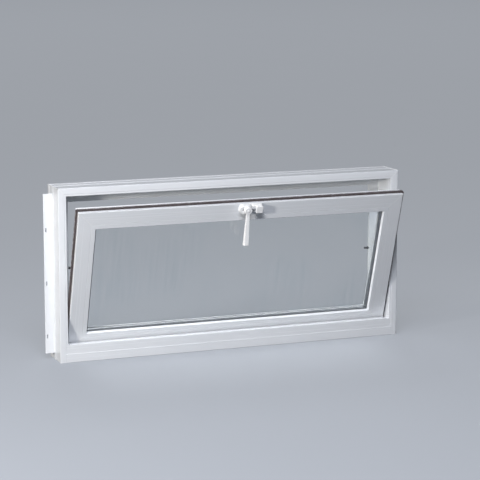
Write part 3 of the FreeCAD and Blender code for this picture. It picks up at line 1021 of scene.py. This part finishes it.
@dataclass
class SashAssembly(SubAssembly):
    """Rails, stiles, beads, glass unit, pile seals and pivot pins.

    Attributes:
        rear_flat: Width of the flat part of the sash's outer face.
        bar_edge: Rounding of the spacer bar.
        seam_side: Metal left each side of the spacer's seam.
        butyl_t: Thickness of the sealant between bar and glass.
        butyl_w: Width of that sealant.
        lip_t: Thickness of the glazing lip.
        lip_w: Width of the glazing lip.
        soft_edge: Rounding of sealant and lip as a share of their thickness.
    """

    rear_flat: float = 34.0 * MM
    bar_edge: float = 0.6 * MM
    seam_side: float = 3.6 * MM
    butyl_t: float = 0.35 * MM
    butyl_w: float = 7.4 * MM
    lip_t: float = 0.9 * MM
    lip_w: float = 1.3 * MM
    soft_edge: float = 0.25

    def build(self) -> list[str]:
        """Dresses the sash's nodes and models what it carries.

        Returns:
            Names of the pieces.
        """
        look = self.palette
        self.dress(look.vinyl_across, "top_rail", "bottom_rail", "top_bead", "bottom_bead")
        self.dress(look.vinyl_tilted, "left_stile", "right_stile", "left_bead", "right_bead")
        self.dress(look.glass, "inner_pane", "outer_pane")
        self.dress(look.zinc, "left_pivot_pin", "right_pivot_pin")
        self.welds()
        self.glass_edge()
        self.pile_seals()
        return self.made

    def outline(self) -> Span:
        """Box of the whole closed sash without its seals."""
        spans = [TILT.closed_span(n) for n in ("top_rail", "bottom_rail", "left_stile", "right_stile")]
        return Span.around([s.low for s in spans] + [s.high for s in spans])

    def welds(self) -> None:
        """Models the trimmed welds at the sash's four mitres, room side and outside."""
        sash = self.outline()
        to_bead = TILT.closed_span("left_bead").low.x - sash.low.x
        faces = ((sash.low.y, to_bead, TO_ROOM), (sash.high.y, self.rear_flat, TO_OUTSIDE))
        for side in Side:
            bm = bmesh.new()
            for corner_z, up in ((sash.low.z, 1), (sash.high.z, -1)):
                corner = Vector((side.value * sash.high.x, 0, corner_z))
                inward = Vector((-side.value, 0, up))
                for depth, far, normal in faces:
                    on_face = corner + TO_OUTSIDE * depth
                    near_end = on_face + inward * self.weld.inset
                    self.weld.lay(bm, near_end, on_face + inward * far, normal)
            self.piece(bm, f"{side.label}_sash_welds", Body.SASH, Slot.VINYL, self.palette.weld)

    def daylight(self) -> Span:
        """Box of the daylight opening between the beads, flat along Y."""
        left, right, bottom, top = (TILT.closed_span(f"{n}_bead") for n in ("left", "right", "bottom", "top"))
        return Span(Vector((left.high.x, 0, bottom.high.z)), Vector((right.low.x, 0, top.low.z)))

    def spacer_width(self, cad: Span) -> float:
        """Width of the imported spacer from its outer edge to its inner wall."""
        places = [TILT.closed(v.co).x for v in frame["nodes"]["glass_spacer"].data.vertices]
        return min(x for x in places if x > cad.low.x + MM) - cad.low.x

    def glass_edge(self) -> None:
        """Models the spacer bar, the sealant beside it and the soft lips that press on the glass."""
        look = self.palette
        cad, inner, outer = (TILT.closed_span(n) for n in ("glass_spacer", "inner_pane", "outer_pane"))
        gap = TO_OUTSIDE * self.butyl_t
        metal = Span(cad.low + gap, cad.high - gap)
        bar = RectRing(metal, self.spacer_width(cad), self.bar_edge, self.seam_side)
        self.piece(bar.build(), "spacer_bar", Body.SASH, Slot.SPACER, look.spacer, ("glass_spacer",))
        butyl = (cad, self.butyl_t, self.butyl_w, Slot.SPACER, look.butyl)
        lip = (self.daylight(), self.lip_t, self.lip_w, Slot.VINYL, look.gasket)
        bands = {
            "inner_butyl": (inner.high.y, *butyl),
            "outer_butyl": (cad.high.y - self.butyl_t, *butyl),
            "inner_glazing_lip": (inner.low.y - self.lip_t, *lip),
            "outer_glazing_lip": (outer.high.y, *lip),
        }
        for name, (front, edge, thickness, width, slot, finish) in bands.items():
            low = Vector((edge.low.x, front, edge.low.z))
            high = Vector((edge.high.x, front + thickness, edge.high.z))
            band = RectRing(Span(low, high), width, thickness * self.soft_edge)
            self.piece(band.build(), name, Body.SASH, slot, finish)

    def pile_seals(self) -> None:
        """Models the brush seals along the top rail and both stiles."""
        sash = self.outline()
        top = TILT.closed_span("top_seal")
        reach = top.high.z - sash.high.z
        width = top.high.y - top.low.y
        corner = Vector((sash.high.x, top.mid.y, sash.high.z))
        left = Vector((-corner.x, corner.y, corner.z))
        runs = {"top_seal": (left, corner, UP, None)}
        for side in Side:
            node = f"{side.label}_seal"
            foot = Vector((side.value * corner.x, corner.y, TILT.closed_span(node).low.z))
            head = Vector((side.value * corner.x, corner.y, corner.z))
            runs[node] = (foot, head, Vector((side.value, 0, 0)), UP)
        for seed, (node, (start, end, out, fan_out)) in enumerate(runs.items()):
            strip = PileStrip(start, end, out, reach, width, fan_out, seed=seed)
            self.piece(strip.build(), node.replace("seal", "pile"), Body.SASH, Slot.PILE, self.palette.pile,
                       stands_for=(node,))


@dataclass
class LatchAssembly(SubAssembly):
    """Cam latch on the top rail: base, tongue, lever and their fasteners.

    Attributes:
        base_t: Thickness of the base plate.
        screws: Name of each base screw, its head, and its place along X and Z from the pivot. The one
            below the tongue's hole is nearly flush, so that the tongue passes over it.
        hub_front: Height of the hub's face above the sash.
        rivet_r: Radius of the spindle's riveted end.
        rivet_h: Height of its dome.
        rivet_sunk: How far it goes on below the hub's face.
        rivet_steps: Number of rings in its dome.
    """

    base_t: float = 3.0 * MM
    screws: tuple[tuple[str, PanScrew, Pair], ...] = (
        ("latch_screw", PanScrew(radius=2.4 * MM), (15.2 * MM, -5.4 * MM)),
        ("latch_screw_under_tongue", PanScrew(radius=2.4 * MM, height=0.25 * MM, depth=0.7 * MM),
         (-9.5 * MM, 0.0)),
    )
    hub_front: float = 18.0 * MM
    rivet_r: float = 3.6 * MM
    rivet_h: float = 0.9 * MM
    rivet_sunk: float = 0.2 * MM
    rivet_steps: int = 6

    def build(self) -> list[str]:
        """Dresses the latch's nodes and models its fasteners.

        Returns:
            Names of the pieces.
        """
        self.dress(self.palette.latch, "latch_base", "latch_cam", "latch_lever")
        foot = TILT.closed(Vector(find_joint("latch_turn")["pos_m"]))
        foot.y = TILT.closed_span("top_rail").low.y
        self.base_screws(foot)
        self.rivet(foot)
        return self.made

    def base_screws(self, foot: Vector) -> None:
        """Models the two screws that hold the base to the rail.

        Args:
            foot: Where the latch's pivot meets the closed sash.
        """
        for name, screw, (across, rise) in self.screws:
            seat = foot + TO_ROOM * self.base_t + Vector((across, 0, rise))
            head = screw.build([facing(seat, TO_ROOM)])
            self.piece(head, name, Body.SASH, Slot.STEEL, self.palette.zinc)

    def rivet(self, foot: Vector) -> None:
        """Models the domed end of the spindle on the hub.

        Args:
            foot: Where the latch's pivot meets the closed sash.
        """
        profile = [(0.0, -self.rivet_sunk), (self.rivet_r, -self.rivet_sunk)]
        for step in range(self.rivet_steps + 1):
            angle = step / self.rivet_steps * math.pi / 2
            profile.append((self.rivet_r * math.cos(angle), self.rivet_h * math.sin(angle)))
        dome = turn_profile(profile, [facing(foot + TO_ROOM * self.hub_front, TO_ROOM)])
        self.piece(dome, "spindle_rivet", Body.LEVER, Slot.WHITE_LATCH, self.palette.latch)


# Pale matt paper sweep: nearly even, with a trace of mottling
@dataclass(frozen=True)
class StudioPaper(Surface):
    """Paper on the studio floor, seen paler than the light that it throws back.

    Attributes:
        glow: Colour of the even light that is seen in the paper.
        glow_strength: Its strength.
    """

    pale: str = "#6B6F76"
    shaded: str = "#686C73"
    grain_mm: float = 400.0
    gloss: Pair = (0.9, 0.9)
    glow: str = "#C9CED6"
    glow_strength: float = 0.47

    def light(self, tree: NodeTree) -> dict:
        """Inputs of the shader for the light that is seen in the paper."""
        strength = by_sight(tree, 0.0, self.glow_strength)
        return {"Emission Color": linear(self.glow), "Emission Strength": strength}


@dataclass(frozen=True)
class SoftBox:
    """Square soft light that faces the window.

    Attributes:
        name: What it is for.
        at: Place of its middle.
        size: Side of the square.
        power: Power in watts.
        colour: Colour of its light.
    """

    name: str
    at: tuple[float, float, float]
    size: float
    power: float
    colour: str = "#FFFFFF"

    def build(self, aim: Vector) -> None:
        """Adds the light.

        Args:
            aim: Point that it faces.
        """
        lamp = bpy.data.lights.new(self.name, "AREA")
        lamp.size = self.size
        lamp.energy = self.power
        lamp.color = linear(self.colour)[:3]
        obj = show(self.name, lamp)
        obj.location = self.at
        obj.rotation_euler = (Vector(self.at) - aim).to_track_quat("Z", "Y").to_euler()


@dataclass
class Studio:
    """Floor, lights, surroundings and camera.

    Attributes:
        floor_size: Side of the floor.
        floor_drop: Gap below the window, so that the two faces don't coincide.
        sky: Colour of the light from all round.
        sky_strength: Its strength on the window.
        sky_seen: Its strength where it is seen.
        boxes: The soft lights.
        camera_at: Place of the camera.
        turn_deg: Its turn to the right of straight ahead.
        down_deg: Its tilt below the horizon.
        focal_px: Focal length in pixels of the photograph.
        image_px: Side of the photograph.
        sensor_mm: Width of the camera's sensor.
    """

    floor_size: float = 120.0
    floor_drop: float = 0.2 * MM
    sky: str = "#EEF2F8"
    sky_strength: float = 0.14
    sky_seen: float = 0.5
    boxes: tuple[SoftBox, ...] = (
        SoftBox("key", at=(-1.95, -1.03, 0.61), size=0.2, power=27.0, colour="#FFFBF4"),
        SoftBox("fill", at=(-0.78, -1.67, 2.03), size=1.2, power=52.0, colour="#F4F7FF"),
        SoftBox("back", at=(3.0, 15.0, 14.0), size=6.0, power=650.0),
    )
    camera_at: tuple[float, float, float] = (-1.528, -4.02125, 0.994)
    turn_deg: float = 21.19
    down_deg: float = 9.91
    focal_px: float = 1928.0
    image_px: float = 480.0
    sensor_mm: float = 36.0

    def build(self) -> None:
        """Sets up everything round the window."""
        self.floor()
        self.surroundings()
        aim = (CAD_BOX[0] + CAD_BOX[1]) / 2
        for box in self.boxes:
            box.build(aim)
        self.camera()
        bpy.context.scene.view_settings.view_transform = "Standard"

    def floor(self) -> None:
        """Lays a wide floor under the window."""
        bm = bmesh.new()
        level = Matrix.Translation((0, 0, CAD_BOX[0].z - self.floor_drop))
        bmesh.ops.create_grid(bm, x_segments=1, y_segments=1, size=self.floor_size / 2, matrix=level)
        mesh = bpy.data.meshes.new("studio_floor")
        bm.to_mesh(mesh)
        bm.free()
        mesh.materials.append(StudioPaper("matt_paper_pale_grey").material())
        show("studio_floor", mesh)

    def surroundings(self) -> None:
        """Lights the scene evenly from all round."""
        world = bpy.data.worlds.new("soft_surround")
        world.use_nodes = True
        tree = world.node_tree
        tree.nodes.clear()
        sky = add_node(tree, "ShaderNodeBackground", inputs={
            "Color": linear(self.sky), "Strength": by_sight(tree, self.sky_strength, self.sky_seen)})
        add_node(tree, "ShaderNodeOutputWorld", inputs={"Surface": sky.outputs["Background"]})
        bpy.context.scene.world = world

    def camera(self) -> None:
        """Stands the camera where the photograph was taken."""
        lens = bpy.data.cameras.new("camera")
        lens.sensor_width = self.sensor_mm
        lens.lens = self.focal_px / self.image_px * self.sensor_mm
        obj = show("camera", lens)
        obj.location = self.camera_at
        obj.rotation_euler = (math.radians(90 - self.down_deg), 0, math.radians(-self.turn_deg))
        bpy.context.scene.camera = obj


def main() -> None:
    """Builds the sub-assemblies in order, logs each piece and sets up the studio."""
    logging.basicConfig(level=logging.INFO, format="%(name)s: %(message)s")
    palette = Palette()
    for assembly in (FrameAssembly(palette), SashAssembly(palette), LatchAssembly(palette)):
        for piece in assembly.build():
            LOG.info("%s: %s", type(assembly).__name__, piece)
    Studio().build()


if __name__ == "__main__":
    main()
